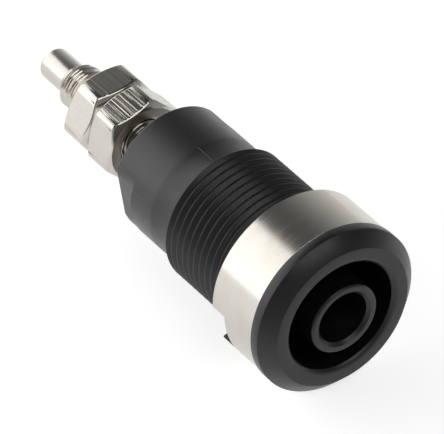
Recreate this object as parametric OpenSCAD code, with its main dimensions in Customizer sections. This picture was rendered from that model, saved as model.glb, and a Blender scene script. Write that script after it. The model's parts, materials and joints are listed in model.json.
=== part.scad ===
// Panel socket for a shrouded 4 mm plug, with a ring nut and a threaded terminal stud.
// The axis runs along Y and the front faces -Y. The origin is on the axis, in the plane of
// the front face. Lengths are in millimetres and turns in degrees.

/* [Barrel] */
// Outer diameter of the barrel's thread
thread_d = 12; // [11:0.5:16]
// Pitch of the barrel's thread
thread_pitch = 0.75; // [0.5:0.05:1.5]
// Length of the thread behind the flange
thread_len = 13.85; // [10:0.05:20]
// Chamfer on the thread's last turn
thread_lead = 0.2; // [0.1:0.05:0.5]
// Step from the thread's crest down to the smooth barrel
barrel_step = 0.55; // [0.45:0.05:1]
// Length of the smooth barrel
barrel_len = 7.5; // [6:0.1:14]
// Radius of the smooth barrel's rear edge
barrel_fillet = 0.15; // [0.1:0.05:0.5]
// Length of the two spanner flats at the barrel's rear end
flat_len = 2.4; // [1:0.1:3.5]
// Depth of each spanner flat
flat_depth = 0.7; // [0.2:0.05:1]
// Turn of the spanner flats about the axis
flat_turn = 9; // [0:1:180]
// Thickness of the barrel's wall at the bottom of the well
barrel_wall = 0.83; // [0.5:0.01:1]
// Thickness of the wall that closes the rear end
rear_wall = 1.4; // [1:0.1:2.5]

/* [Flange] */
// Overhang of the flange beyond the thread
flange_lip = 1.4; // [1:0.05:3]
// Thickness of the flange
flange_t = 1.9; // [1.5:0.05:4]
// Width of the sloping edge, across the face
flange_edge_w = 1.15; // [0.3:0.05:1.5]
// Depth of the sloping edge, along the axis
flange_edge_t = 1.05; // [0.3:0.05:1.4]

/* [Well] */
// Widening of the well from its bottom to its mouth
well_draft = 0.28; // [0.1:0.01:0.4]
// Chamfer round the well's mouth
mouth_chamfer = 0.35; // [0.1:0.05:0.5]

/* [Contact] */
// Bore that takes the plug
plug_d = 4; // [3:0.1:4.5]
// Wall of the contact bush
bush_wall = 0.5; // [0.35:0.01:0.65]
// Chamfer at the bush's mouth
bush_lead = 0.3; // [0.1:0.05:0.34]
// Solid length between the plug bore and the collar
bore_floor = 0.6; // [0.3:0.1:2]
// Width across the flats of the collar that stops the contact turning
collar_af = 6.4; // [6:0.1:6.8]
// Thickness of the collar
collar_t = 1.4; // [0.8:0.1:2]

/* [Guard sleeve] */
// Wall of the sleeve round the bush
sleeve_wall = 0.56; // [0.4:0.01:0.7]
// Length that the sleeve stands proud of the front face
sleeve_tip = 0.3; // [0:0.05:1]
// Length of the inward lip at the sleeve's front
lip_len = 4.6; // [1.2:0.1:6]
// Room round the plug in the lip, on the radius
lip_room = 0.25; // [0.15:0.01:0.4]
// Chamfer that leads the plug into the lip
lip_lead = 0.28; // [0.1:0.01:0.35]
// Rounding of the sleeve's outer front edge
tip_round = 0.25; // [0.05:0.01:0.3]
// Margin of the sleeve's foot beyond the collar's corners
foot_margin = 0.2; // [0.1:0.05:0.3]
// Thickness of the sleeve's foot
foot_t = 1.2; // [0.6:0.1:2]

/* [Terminal stud] */
// Outer diameter of the stud's thread
stud_d = 4; // [3:0.1:5]
// Pitch of the stud's thread
stud_pitch = 0.7; // [0.4:0.05:0.9]
// Length of the stud behind the barrel, with its taper
stud_len = 13.35; // [10:0.05:20]
// Length of the taper at the stud's end
stud_taper = 0.8; // [0.3:0.1:1.5]
// Diameter of the pin at the end
pin_d = 2.8; // [2:0.1:2.9]
// Length of the pin
pin_len = 3.1; // [1:0.1:6]
// Rounding of the pin's end
pin_round = 0.35; // [0.1:0.05:0.9]

/* [Ring nut] */
// Wall of the ring nut outside its bore
ring_wall = 1.25; // [0.8:0.05:2.5]
// Length of the ring nut
ring_len = 5.2; // [3:0.1:7]
// Chamfer on the ring nut's edges
ring_chamfer = 0.1; // [0.05:0.05:0.5]
// Width of the two spanner slots
slot_w = 3.7; // [1:0.1:5]
// Depth of the two spanner slots
slot_depth = 1.65; // [0.5:0.05:2.5]
// Turn of the spanner slots about the axis
slot_turn = 16; // [0:1:180]

/* [Terminal nuts] */
// Width across the flats
nut_af = 7; // [6:0.1:10]
// Thickness of each nut
nut_t = 3.1; // [2:0.1:4]
// Diameter of the flat on each face, inside the chamfer
nut_face_d = 6.6; // [6:0.1:6.9]
// Distance from the barrel to the front nut
nut_standoff = 3.3; // [0.5:0.1:4]
// Turn of the front nut about the axis
front_nut_turn = 137; // [0:1:180]
// Turn of the rear nut about the axis
rear_nut_turn = 125; // [0:1:180]

/* [Fits] */
// Room between a nut's bore and the thread's crest, on the radius
thread_clearance = 0.05; // [0.02:0.01:0.1]
// Room round the bush, the foot, the collar and the stud, on the radius
seat_clearance = 0.04; // [0.01:0.01:0.1]
// Gap in front of a nut that is screwed up to its neighbour
nut_gap = 0.05; // [0.02:0.01:0.3]

/* [Hidden] */
$fn = 96;

plastic_colour = "#1c1c1e";
nickel_colour = "#c8c0b2";
cut = 1;
arc_steps = 6;
nut_chamfer_angle = 30;
drill_angle = 59;

// Radii, worked outwards from the plug and inwards from the barrel's thread
thread_r = thread_d / 2;
flange_r = thread_r + flange_lip;
face_r = flange_r - flange_edge_w;
barrel_r = thread_r - barrel_step;
well_end_r = barrel_r - barrel_wall;
well_r = well_end_r + well_draft;
mouth_r = well_r + mouth_chamfer;
plug_r = plug_d / 2;
bush_r = plug_r + bush_wall;
sleeve_bore_r = bush_r + seat_clearance;
sleeve_r = sleeve_bore_r + sleeve_wall;
lip_r = plug_r + lip_room;
collar_r = hex_corner(collar_af);
foot_r = collar_r + foot_margin;
stud_r = stud_d / 2;
pin_r = pin_d / 2;
nut_bore_r = stud_r + thread_clearance;
ring_bore_r = thread_r + thread_clearance;
ring_r = ring_bore_r + ring_wall;

// Stations along the axis, from the front face to the rear
thread_end = flange_t + thread_len;
barrel_end = thread_end + barrel_len;
collar_end = barrel_end - rear_wall;
collar_start = collar_end - collar_t;
well_floor = collar_start - foot_t;
lip_end = lip_len - sleeve_tip;
bush_start = lip_end + nut_gap;
bore_end = collar_start - bore_floor;
stud_end = barrel_end + stud_len;
pin_end = stud_end + pin_len;
ring_start = flange_t + nut_gap;
front_nut_start = barrel_end + nut_standoff;
rear_nut_start = front_nut_start + nut_t + nut_gap;

// Distance from the middle to a corner of a hexagon that is af across its flats
function hex_corner(af) = af / 2 / cos(30);

// Points of a quarter round from angle a0, in an outline of [radius, station]
function quarter(centre, r, a0) =
    [for (i = [0 : arc_steps]) centre + r * [cos(a0 + 90 * i / arc_steps), sin(a0 + 90 * i / arc_steps)]];

// Outline of a 60 degree thread from one station to another, as grooves with flat crests
function thread_outline(r, pitch, start, end) =
    let (crest = pitch / 8, root = pitch / 4)
    let (depth = (pitch - crest - root) / 2 / tan(30))
    let (grooves = floor((end - start - crest) / pitch))
    let (first = end - crest - grooves * pitch)
    concat([[r, start]], [for (i = [0 : grooves - 1], corner = [0 : 3])
        let (station = first + i * pitch + crest)
        let (flank = (pitch - crest - root) / 2)
        [[r, station], [r - depth, station + flank],
         [r - depth, station + flank + root], [r, station + 2 * flank + root]][corner]], [[r, end]]);

// Turns an outline of [radius, station] about the Y axis, with stations running along +Y
module turned(outline) {
    rotate([-90, 0, 0])
        rotate_extrude()
            polygon(outline);
}

// Hexagonal bar along Y with one corner at the given turn from +X towards +Z
module hex_bar(af, start, length, turn) {
    rotate([-90, 0, 0])
        rotate([0, 0, -turn])
            translate([0, 0, start])
                cylinder(r = hex_corner(af), h = length, $fn = 6);
}

// Moulded body: flange, threaded barrel, smooth barrel and the well for the plug's shroud
module housing() {
    barrel_outline = concat(
        [[mouth_r, 0], [face_r, 0], [flange_r, flange_edge_t], [flange_r, flange_t]],
        thread_outline(thread_r, thread_pitch, flange_t, thread_end - thread_lead),
        [[barrel_r, thread_end]],
        quarter([barrel_r - barrel_fillet, barrel_end - barrel_fillet], barrel_fillet, 0));
    inside_outline = [
        [stud_r + seat_clearance, barrel_end], [stud_r + seat_clearance, collar_start],
        [foot_r + seat_clearance, collar_start], [foot_r + seat_clearance, well_floor],
        [well_end_r, well_floor], [well_r, mouth_chamfer]];
    color(plastic_colour)
        difference() {
            turned(concat(barrel_outline, inside_outline));
            hex_bar(collar_af + 2 * seat_clearance, collar_start - cut / 2, collar_t + cut / 2, 0);
            spanner_flats();
        }
}

// Blocks that cut the two spanner flats at the barrel's rear end
module spanner_flats() {
    for (side = [0, 180])
        rotate([0, -flat_turn - side, 0])
            translate([barrel_r - flat_depth, barrel_end - flat_len, -barrel_r])
                cube([barrel_r, flat_len + cut, 2 * barrel_r]);
}

// Insulating tube round the bush, whose foot holds the contact's collar against the rear wall
module guard_sleeve() {
    color(plastic_colour)
        turned(concat(
            [[lip_r, lip_lead - sleeve_tip], [lip_r + lip_lead, -sleeve_tip]],
            quarter([sleeve_r - tip_round, tip_round - sleeve_tip], tip_round, 270),
            [[sleeve_r, well_floor], [foot_r, well_floor], [foot_r, collar_start],
             [sleeve_bore_r, collar_start], [sleeve_bore_r, lip_end], [lip_r, lip_end]]));
}

// Turned contact: bush for the plug, six-sided collar, threaded stud and pin
module contact() {
    bore_outline = [
        [0, bore_end + plug_r / tan(drill_angle)], [plug_r, bore_end],
        [plug_r, bush_start + bush_lead], [plug_r + bush_lead, bush_start]];
    bush_outline = [[bush_r, bush_start], [bush_r, collar_end], [stud_r, collar_end]];
    stud_outline = concat(
        thread_outline(stud_r, stud_pitch, barrel_end - rear_wall / 2, stud_end - stud_taper),
        [[pin_r, stud_end]],
        quarter([pin_r - pin_round, pin_end - pin_round], pin_round, 0),
        [[0, pin_end]]);
    color(nickel_colour)
        union() {
            turned(concat(bore_outline, bush_outline, stud_outline));
            difference() {
                hex_bar(collar_af, collar_start, collar_t, 0);
                turned([[0, collar_start - cut], [bush_r - bush_wall / 2, collar_start - cut],
                        [bush_r - bush_wall / 2, collar_end + cut], [0, collar_end + cut]]);
            }
        }
}

// Round nut that clamps the panel, with two spanner slots across its rear face
module ring_nut() {
    ring_end = ring_start + ring_len;
    color(nickel_colour)
        difference() {
            turned([
                [ring_bore_r + ring_chamfer, ring_start], [ring_r - ring_chamfer, ring_start],
                [ring_r, ring_start + ring_chamfer], [ring_r, ring_end - ring_chamfer],
                [ring_r - ring_chamfer, ring_end], [ring_bore_r + ring_chamfer, ring_end],
                [ring_bore_r, ring_end - ring_chamfer], [ring_bore_r, ring_start + ring_chamfer]]);
            rotate([0, -slot_turn, 0])
                translate([-ring_r - cut, ring_end - slot_depth, -slot_w / 2])
                    cube([2 * (ring_r + cut), slot_depth + cut, slot_w]);
        }
}

// Hexagonal nut with both faces chamfered, screwed on the stud from the given station
module terminal_nut(start, turn) {
    corner_r = hex_corner(nut_af) + cut;
    face_r = nut_face_d / 2;
    slope = (corner_r - face_r) * tan(nut_chamfer_angle);
    mouth = thread_clearance + stud_pitch / 2;
    end = start + nut_t;
    color(nickel_colour)
        intersection() {
            hex_bar(nut_af, start, nut_t, turn);
            turned([
                [nut_bore_r + mouth, start], [face_r, start], [corner_r, start + slope],
                [corner_r, end - slope], [face_r, end], [nut_bore_r + mouth, end],
                [nut_bore_r, end - mouth], [nut_bore_r, start + mouth]]);
        }
}

// Terminal nut nearer the barrel
module front_nut() {
    terminal_nut(front_nut_start, front_nut_turn);
}

// Terminal nut nearer the pin
module rear_nut() {
    terminal_nut(rear_nut_start, rear_nut_turn);
}

housing();
guard_sleeve();
contact();
ring_nut();
front_nut();
rear_nut();
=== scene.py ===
import json
from math import atan2, cos, hypot, pi, radians, sin, tan

import bpy
from mathutils import Matrix, Vector


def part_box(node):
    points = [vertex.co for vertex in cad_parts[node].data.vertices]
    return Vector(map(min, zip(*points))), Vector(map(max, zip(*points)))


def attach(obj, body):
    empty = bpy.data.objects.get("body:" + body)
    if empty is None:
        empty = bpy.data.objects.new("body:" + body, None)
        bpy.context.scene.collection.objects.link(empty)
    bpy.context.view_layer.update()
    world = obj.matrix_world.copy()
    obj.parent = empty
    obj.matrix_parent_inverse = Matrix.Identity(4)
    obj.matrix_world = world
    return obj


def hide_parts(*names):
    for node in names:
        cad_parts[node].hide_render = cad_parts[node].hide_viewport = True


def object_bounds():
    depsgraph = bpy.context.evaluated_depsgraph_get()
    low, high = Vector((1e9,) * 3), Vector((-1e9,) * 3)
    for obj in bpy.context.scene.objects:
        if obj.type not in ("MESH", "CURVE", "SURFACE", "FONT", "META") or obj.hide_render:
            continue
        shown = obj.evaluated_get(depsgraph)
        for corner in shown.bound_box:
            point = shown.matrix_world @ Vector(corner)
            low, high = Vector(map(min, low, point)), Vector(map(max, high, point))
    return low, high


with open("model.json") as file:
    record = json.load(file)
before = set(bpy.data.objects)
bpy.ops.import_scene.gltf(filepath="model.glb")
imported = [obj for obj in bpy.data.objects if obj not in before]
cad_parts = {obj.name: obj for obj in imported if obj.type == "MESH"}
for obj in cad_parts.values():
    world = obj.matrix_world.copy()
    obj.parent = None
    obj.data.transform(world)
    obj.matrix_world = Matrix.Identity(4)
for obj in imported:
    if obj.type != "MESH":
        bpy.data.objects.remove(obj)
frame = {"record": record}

CAD_BOX = [list(corner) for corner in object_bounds()]
MM = 0.001

# Places and radii that the frame gives
MOUNTS = {mount["name"]: mount for mount in frame["record"]["mounts"]}
HOUSING_LOW, HOUSING_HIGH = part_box("housing")
SLEEVE_LOW, SLEEVE_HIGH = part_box("guard_sleeve")
CONTACT_LOW, CONTACT_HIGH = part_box("contact")
RING_LOW, RING_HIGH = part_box("ring_nut")


def mount_radius(name):
    return MOUNTS[name]["dims"]["r_mm"] * MM


def mount_length(name):
    return MOUNTS[name]["dims"]["length_mm"] * MM


FRONT = HOUSING_LOW[1]
BARREL_END = HOUSING_HIGH[1]
FLANGE_R = min(HOUSING_HIGH[0], HOUSING_HIGH[2])
SEAT = MOUNTS["panel_thread"]["pos_m"][1]
THREAD_R = mount_radius("panel_thread")
STUD_R = mount_radius("terminal_stud")
PIN_R = mount_radius("terminal_pin")
PLUG_R = mount_radius("contact_bore")
LIP_R = mount_radius("plug_guide")
PIN_END = CONTACT_HIGH[1]
BUSH_START = CONTACT_LOW[1]
SLEEVE_TIP = SLEEVE_LOW[1]
SLEEVE_END = SLEEVE_HIGH[1]
FOOT_R = SLEEVE_HIGH[0]
FRONT_NUT_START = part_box("front_nut")[0][1]

# Housing, with stations measured from the front face
FACE_R = 6.25 * MM
EDGE_END = 1.05 * MM
THREAD_PITCH = 0.75 * MM
THREAD_START = 0.6 * MM
THREAD_LEAD = 0.2 * MM
THREAD_DEPTH = 0.3 * MM
THREAD_END = SEAT + mount_length("panel_thread") + THREAD_LEAD
BARREL_R = 5.45 * MM
BARREL_FILLET = 0.15 * MM
FLAT_LENGTH = 2.4 * MM
FLAT_DEPTH = 0.7 * MM
FLAT_TURN = radians(9)
FLAT_HALF = 2.2 * MM
FLAT_ROLL = radians(15)
WITNESS = BARREL_END - 5.07 * MM
WITNESS_STEP = 0.008 * MM
WITNESS_LENGTH = 0.2 * MM
PARTING_TURN = radians(98.3)
PARTING_WIDTH = 0.16 * MM
PARTING_HEIGHT = 0.03 * MM
PARTING_CREST = 0.3
WELL_MOUTH_R = 4.9 * MM
WELL_END_R = 4.62 * MM
MOUTH_CHAMFER = 0.28 * MM
MOUTH_ROUND = 0.45 * MM
COLLAR_START = SLEEVE_END
COLLAR_END = COLLAR_START + 1.4 * MM
WELL_FLOOR = COLLAR_START - 1.2 * MM
SEAT_ROOM = 0.04 * MM

# Guard sleeve and contact
BUSH_R = 2.5 * MM
SLEEVE_R = 3.1 * MM
LIP_LEAD = 0.28 * MM
LIP_END = SLEEVE_TIP + LIP_LEAD + mount_length("plug_guide")
TIP_ROUND = 0.25 * MM
BORE_END = COLLAR_START - 0.6 * MM
BUSH_LEAD = 0.3 * MM
COLLAR_AF = 6.4 * MM
STUD_PITCH = 0.7 * MM
STUD_DEPTH = 0.34 * MM
STUD_TAPER = 0.8 * MM
STUD_END = MOUNTS["terminal_stud"]["pos_m"][1] + mount_length("terminal_stud") + STUD_TAPER
PIN_ROUND = 0.35 * MM
DRILL_ANGLE = radians(59)

# Nuts
RING_BORE_R = 6.05 * MM
RING_CHAMFER = 0.1 * MM
RING_FRONT_EDGE = 0.05 * MM
SLOT_WIDTH = 3.7 * MM
SLOT_DEPTH = 1.65 * MM
SLOT_TURN = radians(16)
NUT_AF = 7 * MM
NUT_FACE_R = 3.3 * MM
NUT_BORE_R = 2.05 * MM
NUT_MOUTH = 0.4 * MM
NUT_CHAMFER_ANGLE = radians(30)
NUT_EDGE = 0.13 * MM
NUT_CROWN = 0.5 * MM
NUT_CROWN_PROFILE = 0.68
FRONT_NUT_TURN = radians(137)
REAR_NUT_TURN = radians(125)

# Rounding of the edges that are left sharp
BODY_SOFT_EDGE = 0.06 * MM
RING_SOFT_EDGE = 0.02 * MM
NUT_SOFT_EDGE = 0.06 * MM
SOFT_ANGLE = radians(25)
NUT_SOFT_ANGLE = radians(35)

# Black moulding, which is glossier behind the witness line
MOULDING_DARK = (0.005, 0.005, 0.0055)
MOULDING_LIGHT = (0.008, 0.008, 0.0085)
MOULDING_ROUGHNESS = (0.33, 0.4)
MOULDING_SPECULAR = 0.58
REAR_GLOSS = 0.3
REAR_GLOSS_ROUGHNESS = 0.34
CLOUD_SCALE = (500, 500, 500)
SHEEN_SCALE = (900, 900, 900)
SPARK_SCALE = (9000, 9000, 9000)
SPARK_DEPTH = 0.0016 * MM

# Nickel, with marks that run round a turned piece and along a drawn one
NICKEL_DARK = (0.62, 0.59, 0.535)
NICKEL_LIGHT = (0.67, 0.64, 0.585)
TONE_SCALE = (350, 350, 350)
TURNED_SCALE = (60, 9000, 60)
TURNED_DEPTH = 0.0004 * MM
TURNED_ROUGHNESS = (0.14, 0.22)
DRAWN_SCALE = (3500, 60, 3500)
DRAWN_DEPTH = 0.03 * MM
DRAWN_ROUGHNESS = (0.12, 0.2)
SCORED_DEPTH = 0.032 * MM
SCORED_ROUGHNESS = (0.1, 0.18)

# Where the marks on a nut fade: first and last place on X, and the share left at the first
DRAWN_BANDS = [(-2.3 * MM, -2.1 * MM, 0.1), (-1.0 * MM, -1.4 * MM, 0.35)]
SCORED_BANDS = [(-2.9 * MM, -2.5 * MM, 0.06)]

# Slopes along Y at which a front face turns rough, and at which the marks fade
FACE_SLOPES = (-0.9, -0.98)
FACE_ROUGHNESS = 0.2
MARK_SLOPES = (0.25, 0.5)

# Painted shade: a darker colour on the stud in the gap between the body and its nuts, and where it
# ends
GAP_SHADE_COLOUR = (0.28, 0.25, 0.205)
GAP_SHADE_REACH = (FRONT_NUT_START + 0.1 * MM, FRONT_NUT_START + 0.6 * MM)

# Noise of the grain, and the part of its range that is used
GRAIN_DETAIL = 3
GRAIN_ROUGHNESS = 0.6
GRAIN_RANGE = (0.3, 0.7)

# Sockets of a Mix node that mixes colours
MIX_FACTOR = 0
MIX_FIRST = 6
MIX_SECOND = 7
MIX_COLOUR = 2

# Fineness of the round pieces
BODY_SIDES = 160
STUD_SIDES = 96
ARC_STEPS = 8
GROOVE_SHARES = (-0.47, -0.4, -0.3, -0.2, -0.1, 0, 0.1, 0.2, 0.3, 0.4, 0.47)
SMOOTH_ANGLE = radians(28)
MERGE = 1e-7
EDGE_ROOM = 5e-6
AXIS_R = 0.02 * MM

# Camera, from the photograph's frame of 444 by 434 pixels
IMAGE_WIDTH = 444
IMAGE_HEIGHT = 434
AZIMUTH = radians(-35.4)
ELEVATION = radians(38.9)
FOCAL_PIXELS = 6700
PIXELS_PER_MM = 12.95
FRONT_PIXEL = (342.65, 317.42)
SENSOR_MM = 36
CLIP_START = 0.01

# Floor, with the reach of its glow towards the camera and of the dimming in reflections
FLOOR_SIZE = 6
FLOOR_GAP = 0.05 * MM
FLOOR_COLOUR = (0.8, 0.8, 0.8, 1)
FLOOR_GLOW = 0.7
GLOW_REACH = (6 * MM, 36 * MM)
MIRRORED_NEAR = 0.78
MIRRORED_REACH = (-10 * MM, -30 * MM)

# Room: level at the horizon and overhead, and share of it in front of the object and behind
ROOM_COLOUR = (1, 1, 1, 1)
HORIZON_LEVEL = 0.73
OVERHEAD_LEVEL = 0.06
OVERHEAD_START = 0.79
FRONT_SHARE = 0.55
FRONT_REACH = (-0.2, 0.5)

# Lamp panels: name, azimuth, lowest and highest elevation in degrees, width in metres, radiance
LAMP_DISTANCE = 1
SOFTBOXES = [
    ("upper_softbox", 127, 14, 50, 2.0, 1.33),
    ("lower_softbox", 127, 1, 14, 2.0, 1.2),
    ("front_softbox", -86, 38, 64, 0.8, 1.65)]


# Selection and shaping tools


def select_nothing():
    if bpy.context.object and bpy.context.object.mode != "OBJECT":
        bpy.ops.object.mode_set(mode="OBJECT")
    bpy.ops.object.select_all(action="DESELECT")


def pick(piece):
    select_nothing()
    piece.select_set(True)
    bpy.context.view_layer.objects.active = piece


def apply_modifiers(piece):
    pick(piece)
    for name in [modifier.name for modifier in piece.modifiers]:
        bpy.ops.object.modifier_apply(modifier=name)


def settle(piece):
    """Puts a piece's place, turn and size into its mesh."""
    pick(piece)
    bpy.ops.object.transform_apply(location=True, rotation=True, scale=True)


def arc(radius, station, size, start, sweep=90):
    """Points of an arc about (radius, station), from the start angle, in degrees."""
    angles = [radians(start + sweep * step / ARC_STEPS) for step in range(ARC_STEPS + 1)]
    return [(radius + size * cos(angle), station + size * sin(angle)) for angle in angles]


def open_edit(piece, kind):
    """Opens a piece in edit mode with nothing selected."""
    pick(piece)
    bpy.ops.object.mode_set(mode="EDIT")
    bpy.ops.mesh.select_mode(type=kind)
    bpy.ops.mesh.select_all(action="DESELECT")
    bpy.ops.object.mode_set(mode="OBJECT")


def select_points(piece, chosen):
    """Opens a piece with the points selected whose place is chosen."""
    open_edit(piece, "VERT")
    for vertex in piece.data.vertices:
        vertex.select = chosen(vertex.co)
    bpy.ops.object.mode_set(mode="EDIT")


def select_edges(piece, chosen):
    """Opens a piece with the edges selected whose two ends are chosen."""
    open_edit(piece, "EDGE")
    points = piece.data.vertices
    for edge in piece.data.edges:
        edge.select = chosen(points[edge.vertices[0]].co, points[edge.vertices[1]].co)
    bpy.ops.object.mode_set(mode="EDIT")


def on_ring(point, radius, station):
    return abs(hypot(point.x, point.z) - radius) < MERGE and abs(point.y - station) < MERGE


def turned(name, outline, sides, closed=True):
    """A turned piece: one ring, drawn on through the outline's (radius, station) points."""
    select_nothing()
    radius, station = outline[0]
    bpy.ops.mesh.primitive_circle_add(
        vertices=sides, radius=radius, location=(0, station, 0), rotation=(pi / 2, 0, 0))
    piece = bpy.context.object
    piece.name = name
    settle(piece)
    bpy.ops.object.mode_set(mode="EDIT")
    bpy.ops.mesh.select_mode(type="EDGE")
    bpy.ops.mesh.select_all(action="SELECT")
    rings = outline[1:] + outline[:1] if closed else outline[1:]
    for next_radius, next_station in rings:
        bpy.ops.mesh.extrude_region_move(
            TRANSFORM_OT_translate={"value": (0, next_station - station, 0)})
        scale = next_radius / radius
        bpy.ops.transform.resize(value=(scale, 1, scale), center_override=(0, next_station, 0))
        radius, station = next_radius, next_station
    if not closed:
        bpy.ops.mesh.merge(type="CENTER")
        select_points(piece, lambda point: on_ring(point, *outline[0]))
        bpy.ops.mesh.merge(type="CENTER")
    bpy.ops.mesh.select_all(action="SELECT")
    bpy.ops.mesh.remove_doubles(threshold=MERGE)
    bpy.ops.mesh.normals_make_consistent(inside=False)
    bpy.ops.object.mode_set(mode="OBJECT")
    return piece


def soften(piece, width, angle=SOFT_ANGLE):
    """Rounds the sharp edges of a piece."""
    bevel = piece.modifiers.new("soft_edges", "BEVEL")
    bevel.width = width
    bevel.segments = 2
    bevel.limit_method = "ANGLE"
    bevel.angle_limit = angle
    apply_modifiers(piece)


def combine(piece, other, operation):
    """Cuts a piece with another, or joins or limits it to the other, which is then used up."""
    boolean = piece.modifiers.new("combine", "BOOLEAN")
    boolean.operation = operation
    boolean.solver = "EXACT"
    boolean.object = other
    apply_modifiers(piece)
    bpy.data.objects.remove(other, do_unlink=True)


def clear_slivers(piece):
    """Takes out the edges and faces of no size that a thread's cut leaves."""
    pick(piece)
    bpy.ops.object.mode_set(mode="EDIT")
    bpy.ops.mesh.select_all(action="SELECT")
    bpy.ops.mesh.dissolve_degenerate(threshold=MERGE)
    bpy.ops.object.mode_set(mode="OBJECT")


def thread_cutter(radius, pitch, depth, start, end, sides):
    """A helical bar of the thread's rounded groove, from one station to another."""
    across = [pitch * share for share in GROOVE_SHARES]
    section = [(radius - depth * (1 + cos(2 * pi * place / pitch)) / 2, place) for place in across]
    outside = radius + depth / 4
    section += [(outside, across[-1]), (outside, across[0]), section[0]]
    select_nothing()
    bpy.ops.mesh.primitive_plane_add(size=pitch, location=(section[0][0], start + across[0], 0))
    cutter = bpy.context.object
    settle(cutter)
    bpy.ops.object.mode_set(mode="EDIT")
    bpy.ops.mesh.select_mode(type="VERT")
    bpy.ops.mesh.select_all(action="SELECT")
    bpy.ops.mesh.merge(type="CENTER")
    for here, there in zip(section, section[1:]):
        bpy.ops.mesh.extrude_region_move(
            TRANSFORM_OT_translate={"value": (there[0] - here[0], there[1] - here[1], 0)})
    bpy.ops.mesh.select_all(action="SELECT")
    bpy.ops.mesh.remove_doubles(threshold=MERGE)
    bpy.ops.object.mode_set(mode="OBJECT")
    helix = cutter.modifiers.new("helix", "SCREW")
    helix.axis = "Y"
    helix.angle = 2 * pi
    helix.screw_offset = pitch
    helix.iterations = round((end - start) / pitch)
    helix.steps = sides
    helix.render_steps = sides
    apply_modifiers(cutter)
    bpy.ops.object.mode_set(mode="EDIT")
    bpy.ops.mesh.select_all(action="SELECT")
    bpy.ops.mesh.remove_doubles(threshold=MERGE)
    bpy.ops.mesh.fill_holes(sides=len(section))
    bpy.ops.mesh.select_all(action="SELECT")
    bpy.ops.mesh.normals_make_consistent(inside=False)
    bpy.ops.object.mode_set(mode="OBJECT")
    return cutter


def hex_bar(af, start, end, turn, crown=0):
    """A hexagonal bar along Y with one corner at the given turn from +X towards +Z."""
    select_nothing()
    bpy.ops.mesh.primitive_cylinder_add(
        vertices=6, radius=af / 2 / cos(radians(30)), depth=end - start,
        location=(0, (start + end) / 2, 0), rotation=(pi / 2, 0, 0))
    bar = bpy.context.object
    settle(bar)
    corner = bar.data.vertices[0].co
    bar.data.transform(Matrix.Rotation(atan2(corner.z, corner.x) - turn, 4, "Y"))
    if crown:
        select_edges(bar, lambda first, second: abs(first.y - second.y) > MERGE)
        bpy.ops.mesh.bevel(offset=crown, segments=2, profile=NUT_CROWN_PROFILE)
        bpy.ops.object.mode_set(mode="OBJECT")
    return bar


def dress(piece, node, body, material):
    """Gives a finished piece its shading, material and place in the frame."""
    pick(piece)
    bpy.ops.object.shade_smooth_by_angle(angle=SMOOTH_ANGLE)
    weighted = piece.modifiers.new("large_faces_first", "WEIGHTED_NORMAL")
    weighted.keep_sharp = True
    apply_modifiers(piece)
    piece.data.materials.clear()
    piece.data.materials.append(material)
    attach(piece, body)
    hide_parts(node)


# Shader node groups


def add_node(tree, kind, **values):
    node = tree.nodes.new(kind)
    for name, value in values.items():
        setattr(node, name, value)
    return node


def grain_group():
    """Noise stretched by its own scale on each axis, as a value between two limits."""
    group = bpy.data.node_groups.new("directional_grain", "ShaderNodeTree")
    group.interface.new_socket("Scale", in_out="INPUT", socket_type="NodeSocketVector")
    group.interface.new_socket("Low", in_out="INPUT", socket_type="NodeSocketFloat")
    group.interface.new_socket("High", in_out="INPUT", socket_type="NodeSocketFloat")
    group.interface.new_socket("Grain", in_out="OUTPUT", socket_type="NodeSocketFloat")
    start = add_node(group, "NodeGroupInput")
    place = add_node(group, "ShaderNodeTexCoord")
    stretch = add_node(group, "ShaderNodeVectorMath", operation="MULTIPLY")
    noise = add_node(group, "ShaderNodeTexNoise")
    noise.inputs["Scale"].default_value = 1
    noise.inputs["Detail"].default_value = GRAIN_DETAIL
    noise.inputs["Roughness"].default_value = GRAIN_ROUGHNESS
    limits = add_node(group, "ShaderNodeMapRange")
    limits.inputs["From Min"].default_value = GRAIN_RANGE[0]
    limits.inputs["From Max"].default_value = GRAIN_RANGE[1]
    end = add_node(group, "NodeGroupOutput")
    link = group.links.new
    link(place.outputs["Object"], stretch.inputs[0])
    link(start.outputs["Scale"], stretch.inputs[1])
    link(stretch.outputs["Vector"], noise.inputs["Vector"])
    link(noise.outputs["Fac"], limits.inputs["Value"])
    link(start.outputs["Low"], limits.inputs["To Min"])
    link(start.outputs["High"], limits.inputs["To Max"])
    link(limits.outputs["Result"], end.inputs["Grain"])
    return group


GRAIN = grain_group()


def new_material(name):
    material = bpy.data.materials.new(name)
    material.use_nodes = True
    return material, material.node_tree, material.node_tree.nodes["Principled BSDF"]


def grain(tree, scale, low, high):
    """Places the grain group in a material."""
    node = add_node(tree, "ShaderNodeGroup", node_tree=GRAIN)
    node.inputs["Scale"].default_value = scale
    node.inputs["Low"].default_value = low
    node.inputs["High"].default_value = high
    return node.outputs["Grain"]


def add_bump(tree, shader, height, distance):
    bump = add_node(tree, "ShaderNodeBump")
    bump.inputs["Strength"].default_value = 1
    bump.inputs["Distance"].default_value = distance
    tree.links.new(height, bump.inputs["Height"])
    tree.links.new(bump.outputs["Normal"], shader.inputs["Normal"])


def ramp(tree, value, first, last, low, high):
    """A value that goes from low to high between two limits."""
    limits = add_node(tree, "ShaderNodeMapRange")
    limits.inputs["From Min"].default_value = first
    limits.inputs["From Max"].default_value = last
    limits.inputs["To Min"].default_value = low
    limits.inputs["To Max"].default_value = high
    tree.links.new(value, limits.inputs["Value"])
    return limits.outputs["Result"]


def reckon(tree, operation, first, second):
    """A Math node on two values."""
    node = add_node(tree, "ShaderNodeMath", operation=operation)
    tree.links.new(first, node.inputs[0])
    tree.links.new(second, node.inputs[1])
    return node.outputs[0]


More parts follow.
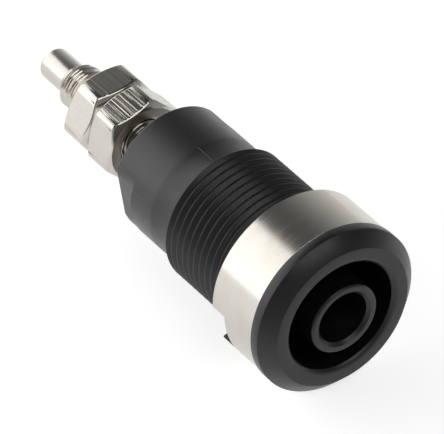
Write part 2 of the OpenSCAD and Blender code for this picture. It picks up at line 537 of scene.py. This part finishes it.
def parts_of(tree, vector):
    """The X, Y and Z of a vector."""
    node = add_node(tree, "ShaderNodeSeparateXYZ")
    tree.links.new(vector, node.inputs[0])
    return node.outputs


def mixed_colour(tree, factor, first, second):
    mix = add_node(tree, "ShaderNodeMix", data_type="RGBA")
    mix.inputs[MIX_FIRST].default_value = (*first, 1)
    mix.inputs[MIX_SECOND].default_value = (*second, 1)
    tree.links.new(factor, mix.inputs[MIX_FACTOR])
    return mix.outputs[MIX_COLOUR]


def black_polyamide():
    """Satin black moulding with a faint cloudiness and a fine spark-eroded grain."""
    material, tree, shader = new_material("black_polyamide")
    link = tree.links.new
    clouds = grain(tree, CLOUD_SCALE, 0, 1)
    link(mixed_colour(tree, clouds, MOULDING_DARK, MOULDING_LIGHT), shader.inputs["Base Color"])
    shader.inputs["Specular IOR Level"].default_value = MOULDING_SPECULAR
    link(grain(tree, SHEEN_SCALE, *MOULDING_ROUGHNESS), shader.inputs["Roughness"])
    place = add_node(tree, "ShaderNodeTexCoord")
    along = parts_of(tree, place.outputs["Object"])["Y"]
    first, last = WITNESS - WITNESS_LENGTH, WITNESS + WITNESS_LENGTH
    link(ramp(tree, along, first, last, 0, REAR_GLOSS), shader.inputs["Coat Weight"])
    shader.inputs["Coat Roughness"].default_value = REAR_GLOSS_ROUGHNESS
    add_bump(tree, shader, grain(tree, SPARK_SCALE, 0, 1), SPARK_DEPTH)
    return material


def nickel(name, scale, depth, roughness, bands=(), gap_shaded=False):
    """Warm nickel plating over marks that run as the scale says, with a rougher front face."""
    material, tree, shader = new_material(name)
    link = tree.links.new
    shader.inputs["Metallic"].default_value = 1
    tone = grain(tree, TONE_SCALE, 0, 1)
    colour = mixed_colour(tree, tone, NICKEL_DARK, NICKEL_LIGHT)
    coordinates = add_node(tree, "ShaderNodeTexCoord")
    place = parts_of(tree, coordinates.outputs["Object"])
    facing = parts_of(tree, coordinates.outputs["Normal"])
    # Painted shade: the stud's colour darkens in front of the front nut, where the nut and the body
    # shade the gap
    if gap_shaded:
        shaded_colour = add_node(tree, "ShaderNodeMix", data_type="RGBA")
        shaded_colour.inputs[MIX_SECOND].default_value = (*GAP_SHADE_COLOUR, 1)
        link(colour, shaded_colour.inputs[MIX_FIRST])
        link(ramp(tree, place["Y"], *GAP_SHADE_REACH, 1, 0), shaded_colour.inputs[MIX_FACTOR])
        colour = shaded_colour.outputs[MIX_COLOUR]
    link(colour, shader.inputs["Base Color"])
    front = ramp(tree, facing["Y"], *FACE_SLOPES, 0, FACE_ROUGHNESS)
    rough = reckon(tree, "ADD", grain(tree, scale, *roughness), front)
    link(rough, shader.inputs["Roughness"])
    slope = add_node(tree, "ShaderNodeMath", operation="ABSOLUTE")
    link(facing["Y"], slope.inputs[0])
    sides = ramp(tree, slope.outputs[0], *MARK_SLOPES, 1, 0)
    marks = reckon(tree, "MULTIPLY", grain(tree, scale, 0, 1), sides)
    for first, last, share in bands:
        marks = reckon(tree, "MULTIPLY", marks, ramp(tree, place["X"], first, last, share, 1))
    add_bump(tree, shader, marks, depth)
    return material


POLYAMIDE = black_polyamide()
TURNED_NICKEL = nickel("turned_nickel", TURNED_SCALE, TURNED_DEPTH, TURNED_ROUGHNESS)
# The stud's nickel carries painted shade in the gap between the body and the front nut
STUD_NICKEL = nickel(
    "stud_nickel", TURNED_SCALE, TURNED_DEPTH, TURNED_ROUGHNESS, gap_shaded=True)
SCORED_NICKEL = nickel(
    "scored_nickel", DRAWN_SCALE, SCORED_DEPTH, SCORED_ROUGHNESS, SCORED_BANDS)
DRAWN_NICKEL = nickel("drawn_nickel", DRAWN_SCALE, DRAWN_DEPTH, DRAWN_ROUGHNESS, DRAWN_BANDS)


# Pieces


def flat_cutter(turn):
    """A block that cuts one spanner flat, with sides that roll over into the round barrel."""
    inner, length = BARREL_R - FLAT_DEPTH, FLAT_LENGTH + FLAT_DEPTH
    select_nothing()
    bpy.ops.mesh.primitive_cube_add(size=1, location=(
        inner + BARREL_R / 2, BARREL_END - FLAT_LENGTH + length / 2, 0))
    block = bpy.context.object
    block.scale = (BARREL_R, length, 2 * BARREL_R)
    settle(block)
    bpy.ops.object.mode_set(mode="EDIT")
    for side in (-FLAT_HALF, FLAT_HALF):
        bpy.ops.mesh.select_all(action="SELECT")
        bpy.ops.mesh.bisect(plane_co=(0, 0, side), plane_no=(0, 0, 1))
    bpy.ops.object.mode_set(mode="OBJECT")
    select_points(block, lambda point: point.x < inner + MERGE and abs(point.z) > BARREL_R - MERGE)
    bpy.ops.transform.translate(value=((FLAT_HALF - BARREL_R) * tan(FLAT_ROLL), 0, 0))
    bpy.ops.object.mode_set(mode="OBJECT")
    block.data.transform(Matrix.Rotation(-turn, 4, "Y"))
    return block


def parting_ridge(turn):
    """The fine ridge that the mould's halves leave on the smooth barrel."""
    start, end = THREAD_END - THREAD_LEAD, WITNESS
    select_nothing()
    bpy.ops.mesh.primitive_cube_add(size=1, location=(BARREL_R, (start + end) / 2, 0))
    ridge = bpy.context.object
    ridge.scale = (2 * PARTING_HEIGHT, end - start, PARTING_WIDTH)
    settle(ridge)
    select_points(ridge, lambda point: point.x > BARREL_R)
    bpy.ops.transform.resize(value=(1, 1, PARTING_CREST), center_override=(BARREL_R, start, 0))
    bpy.ops.object.mode_set(mode="OBJECT")
    ridge.data.transform(Matrix.Rotation(-turn, 4, "Y"))
    return ridge


def make_housing():
    """Flange, threaded barrel with its flats, and the well with the collar's pocket behind it."""
    mouth = WELL_MOUTH_R + MOUTH_CHAMFER + MOUTH_ROUND * tan(pi / 8)
    outline = [(WELL_MOUTH_R, FRONT + MOUTH_CHAMFER)]
    outline += arc(mouth, FRONT + MOUTH_ROUND, MOUTH_ROUND, 225, 45)
    outline += [
        (FACE_R, FRONT), (FLANGE_R, EDGE_END), (FLANGE_R, SEAT), (THREAD_R, SEAT),
        (THREAD_R, THREAD_END - THREAD_LEAD), (BARREL_R - WITNESS_STEP, THREAD_END),
        (BARREL_R - WITNESS_STEP, WITNESS - WITNESS_LENGTH), (BARREL_R, WITNESS)]
    outline += arc(BARREL_R - BARREL_FILLET, BARREL_END - BARREL_FILLET, BARREL_FILLET, 0)
    outline += [
        (STUD_R + SEAT_ROOM, BARREL_END), (STUD_R + SEAT_ROOM, COLLAR_START),
        (FOOT_R + SEAT_ROOM, COLLAR_START), (FOOT_R + SEAT_ROOM, WELL_FLOOR),
        (WELL_END_R, WELL_FLOOR)]
    piece = turned("housing_moulding", outline, BODY_SIDES)
    combine(piece, flat_cutter(FLAT_TURN), "DIFFERENCE")
    combine(piece, flat_cutter(FLAT_TURN + pi), "DIFFERENCE")
    soften(piece, BODY_SOFT_EDGE)
    combine(piece, parting_ridge(PARTING_TURN), "UNION")
    combine(piece, parting_ridge(PARTING_TURN + pi), "UNION")
    cutter = thread_cutter(
        THREAD_R, THREAD_PITCH, THREAD_DEPTH,
        SEAT + THREAD_START, THREAD_END + THREAD_PITCH, BODY_SIDES)
    combine(piece, cutter, "DIFFERENCE")
    pocket = hex_bar(COLLAR_AF + 2 * SEAT_ROOM, COLLAR_START - SEAT_ROOM, COLLAR_END, 0)
    combine(piece, pocket, "DIFFERENCE")
    clear_slivers(piece)
    dress(piece, "housing", "socket", POLYAMIDE)


def make_guard_sleeve():
    """Tube round the contact, with a narrow lip in front and a foot at the well's floor."""
    outline = [(LIP_R, SLEEVE_TIP + LIP_LEAD), (LIP_R + LIP_LEAD, SLEEVE_TIP)]
    outline += arc(SLEEVE_R - TIP_ROUND, SLEEVE_TIP + TIP_ROUND, TIP_ROUND, 270)
    outline += [
        (SLEEVE_R, WELL_FLOOR), (FOOT_R, WELL_FLOOR), (FOOT_R, SLEEVE_END),
        (BUSH_R + SEAT_ROOM, SLEEVE_END), (BUSH_R + SEAT_ROOM, LIP_END), (LIP_R, LIP_END)]
    piece = turned("guard_sleeve_moulding", outline, STUD_SIDES)
    dress(piece, "guard_sleeve", "socket", POLYAMIDE)


def make_contact():
    """Bush with the plug's bore, hexagon collar, threaded stud and plain pin end."""
    outline = [
        (AXIS_R, BORE_END + PLUG_R / tan(DRILL_ANGLE)), (PLUG_R, BORE_END),
        (PLUG_R, BUSH_START + BUSH_LEAD), (PLUG_R + BUSH_LEAD, BUSH_START), (BUSH_R, BUSH_START),
        (BUSH_R, COLLAR_END), (STUD_R, COLLAR_END), (STUD_R, STUD_END - STUD_TAPER),
        (PIN_R, STUD_END)]
    outline += arc(PIN_R - PIN_ROUND, PIN_END - PIN_ROUND, PIN_ROUND, 0)
    outline += [(AXIS_R, PIN_END)]
    piece = turned("contact_turning", outline, STUD_SIDES, closed=False)
    cutter = thread_cutter(
        STUD_R, STUD_PITCH, STUD_DEPTH,
        COLLAR_END + STUD_PITCH, STUD_END + STUD_PITCH, STUD_SIDES)
    combine(piece, cutter, "DIFFERENCE")
    combine(piece, hex_bar(COLLAR_AF, COLLAR_START, COLLAR_END, 0), "UNION")
    clear_slivers(piece)
    dress(piece, "contact", "socket", STUD_NICKEL)


def make_ring_nut():
    """Round nut with a spanner slot across its rear face."""
    start, end, radius = RING_LOW[1], RING_HIGH[1], RING_HIGH[0]
    outline = [
        (RING_BORE_R + RING_CHAMFER, start), (radius - RING_FRONT_EDGE, start),
        (radius, start + RING_FRONT_EDGE), (radius, end - RING_CHAMFER),
        (radius - RING_CHAMFER, end), (RING_BORE_R + RING_CHAMFER, end),
        (RING_BORE_R, end - RING_CHAMFER),
        (RING_BORE_R, start + RING_CHAMFER)]
    piece = turned("ring_nut_turning", outline, BODY_SIDES)
    select_nothing()
    bpy.ops.mesh.primitive_cube_add(size=1, location=(0, end, 0), rotation=(0, -SLOT_TURN, 0))
    slot = bpy.context.object
    slot.scale = (3 * radius, 2 * SLOT_DEPTH, SLOT_WIDTH)
    settle(slot)
    combine(piece, slot, "DIFFERENCE")
    soften(piece, RING_SOFT_EDGE)
    dress(piece, "ring_nut", "ring", TURNED_NICKEL)


def make_nut(node, body, turn, material):
    """Hexagon nut, chamfered on both faces and at the mouths of its bore."""
    low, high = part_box(node)
    start, end = low[1], high[1]
    piece = hex_bar(NUT_AF, start, end, turn, NUT_CROWN)
    piece.name = node + "_hexagon"
    crown = NUT_FACE_R + (end - start) / 2 / tan(NUT_CHAMFER_ANGLE)
    blank = turned("nut_blank", [
        (NUT_BORE_R + NUT_MOUTH, start), (NUT_FACE_R, start), (crown, (start + end) / 2),
        (NUT_FACE_R, end), (NUT_BORE_R + NUT_MOUTH, end), (NUT_BORE_R, end - NUT_MOUTH),
        (NUT_BORE_R, start + NUT_MOUTH)], STUD_SIDES)
    combine(piece, blank, "INTERSECT")

    def on_chamfer(point):
        beyond = hypot(point.x, point.z) - NUT_FACE_R
        depth = min(point.y - start, end - point.y)
        return beyond > EDGE_ROOM and abs(depth - beyond * tan(NUT_CHAMFER_ANGLE)) < EDGE_ROOM

    select_edges(piece, lambda first, second: on_chamfer(first) and on_chamfer(second))
    bpy.ops.mesh.bevel(offset=NUT_EDGE, segments=4)
    bpy.ops.object.mode_set(mode="OBJECT")
    soften(piece, NUT_SOFT_EDGE, NUT_SOFT_ANGLE)
    dress(piece, node, body, material)


make_housing()
make_guard_sleeve()
make_contact()
make_ring_nut()
make_nut("front_nut", "nut_front", FRONT_NUT_TURN, SCORED_NICKEL)
make_nut("rear_nut", "nut_rear", REAR_NUT_TURN, DRAWN_NICKEL)


# Camera


def make_camera():
    back = Vector((sin(AZIMUTH) * cos(ELEVATION), -cos(AZIMUTH) * cos(ELEVATION), sin(ELEVATION)))
    right = Vector((cos(AZIMUTH), sin(AZIMUTH), 0))
    up = back.cross(right)
    across = (FRONT_PIXEL[0] - IMAGE_WIDTH / 2) / PIXELS_PER_MM * MM
    down = (FRONT_PIXEL[1] - IMAGE_HEIGHT / 2) / PIXELS_PER_MM * MM
    target = Vector((0, FRONT, 0)) - right * across + up * down
    data = bpy.data.cameras.new("camera")
    data.sensor_fit = "HORIZONTAL"
    data.sensor_width = SENSOR_MM
    data.lens = FOCAL_PIXELS * SENSOR_MM / IMAGE_WIDTH
    data.clip_start = CLIP_START
    camera = bpy.data.objects.new("camera", data)
    camera.location = target + back * (FOCAL_PIXELS / PIXELS_PER_MM * MM)
    camera.rotation_euler = back.to_track_quat("Z", "Y").to_euler()
    bpy.context.scene.collection.objects.link(camera)
    bpy.context.scene.camera = camera


make_camera()


# Floor, room and lamps


def plain_shader(name):
    material = bpy.data.materials.new(name)
    material.use_nodes = True
    material.node_tree.nodes.clear()
    return material, material.node_tree


def make_floor():
    """A pale floor with a glow that fades out towards the camera, in front of the picture.

    The camera sees the glow in full, and reflections see less of it near the object.
    """
    select_nothing()
    bpy.ops.mesh.primitive_plane_add(size=FLOOR_SIZE, location=(0, 0, CAD_BOX[0][2] - FLOOR_GAP))
    floor = bpy.context.object
    floor.name = "floor"
    settle(floor)
    material, tree = plain_shader("pale_floor")
    link = tree.links.new
    path = add_node(tree, "ShaderNodeLightPath").outputs
    place = add_node(tree, "ShaderNodeTexCoord").outputs["Object"]
    nearer = add_node(tree, "ShaderNodeVectorMath", operation="DOT_PRODUCT")
    nearer.inputs[1].default_value = (sin(AZIMUTH), -cos(AZIMUTH), 0)
    link(place, nearer.inputs[0])
    fade = ramp(tree, nearer.outputs["Value"], *GLOW_REACH, FLOOR_GLOW, 0)
    share = ramp(tree, parts_of(tree, place)["X"], *MIRRORED_REACH, MIRRORED_NEAR, 1)
    mirrored = reckon(tree, "MAXIMUM", path["Is Glossy Ray"], path["Is Transmission Ray"])
    dimmed = reckon(tree, "MULTIPLY", mirrored, share)
    seen = reckon(tree, "MAXIMUM", path["Is Camera Ray"], dimmed)
    glow = add_node(tree, "ShaderNodeEmission")
    link(reckon(tree, "MULTIPLY", seen, fade), glow.inputs["Strength"])
    diffuse = add_node(tree, "ShaderNodeBsdfDiffuse")
    diffuse.inputs["Color"].default_value = FLOOR_COLOUR
    both = add_node(tree, "ShaderNodeAddShader")
    link(diffuse.outputs[0], both.inputs[0])
    link(glow.outputs[0], both.inputs[1])
    out = add_node(tree, "ShaderNodeOutputMaterial")
    link(both.outputs[0], out.inputs["Surface"])
    floor.data.materials.append(material)


def make_world():
    """A dim room that is lighter towards the horizon, and lighter behind the object."""
    world = bpy.data.worlds.new("studio")
    world.use_nodes = True
    tree = world.node_tree
    background = tree.nodes["Background"]
    background.inputs["Color"].default_value = ROOM_COLOUR
    coordinates = add_node(tree, "ShaderNodeTexCoord")
    way = parts_of(tree, coordinates.outputs["Generated"])
    level = ramp(tree, way["Z"], 0, OVERHEAD_START, HORIZON_LEVEL, OVERHEAD_LEVEL)
    share = ramp(tree, way["Y"], *FRONT_REACH, FRONT_SHARE, 1)
    tree.links.new(reckon(tree, "MULTIPLY", level, share), background.inputs["Strength"])
    bpy.context.scene.world = world


def make_softbox(name, azimuth, low, high, width, radiance):
    """A lamp panel between two elevations, as bright as its radiance says, unseen by the camera."""
    turn, middle = radians(azimuth), radians((low + high) / 2)
    height = 2 * LAMP_DISTANCE * tan(radians((high - low) / 2))
    light = bpy.data.lights.new(name, "AREA")
    light.shape = "RECTANGLE"
    light.size = width
    light.size_y = height
    light.energy = radiance * pi * width * height
    aim = Vector((cos(turn) * cos(middle), sin(turn) * cos(middle), sin(middle)))
    softbox = bpy.data.objects.new(name, light)
    softbox.location = aim * LAMP_DISTANCE + Vector((0, (FRONT + PIN_END) / 2, 0))
    softbox.rotation_euler = aim.to_track_quat("Z", "Y").to_euler()
    softbox.visible_camera = False
    bpy.context.scene.collection.objects.link(softbox)


make_floor()
make_world()
for softbox in SOFTBOXES:
    make_softbox(*softbox)
bpy.context.scene.view_settings.view_transform = "Standard"
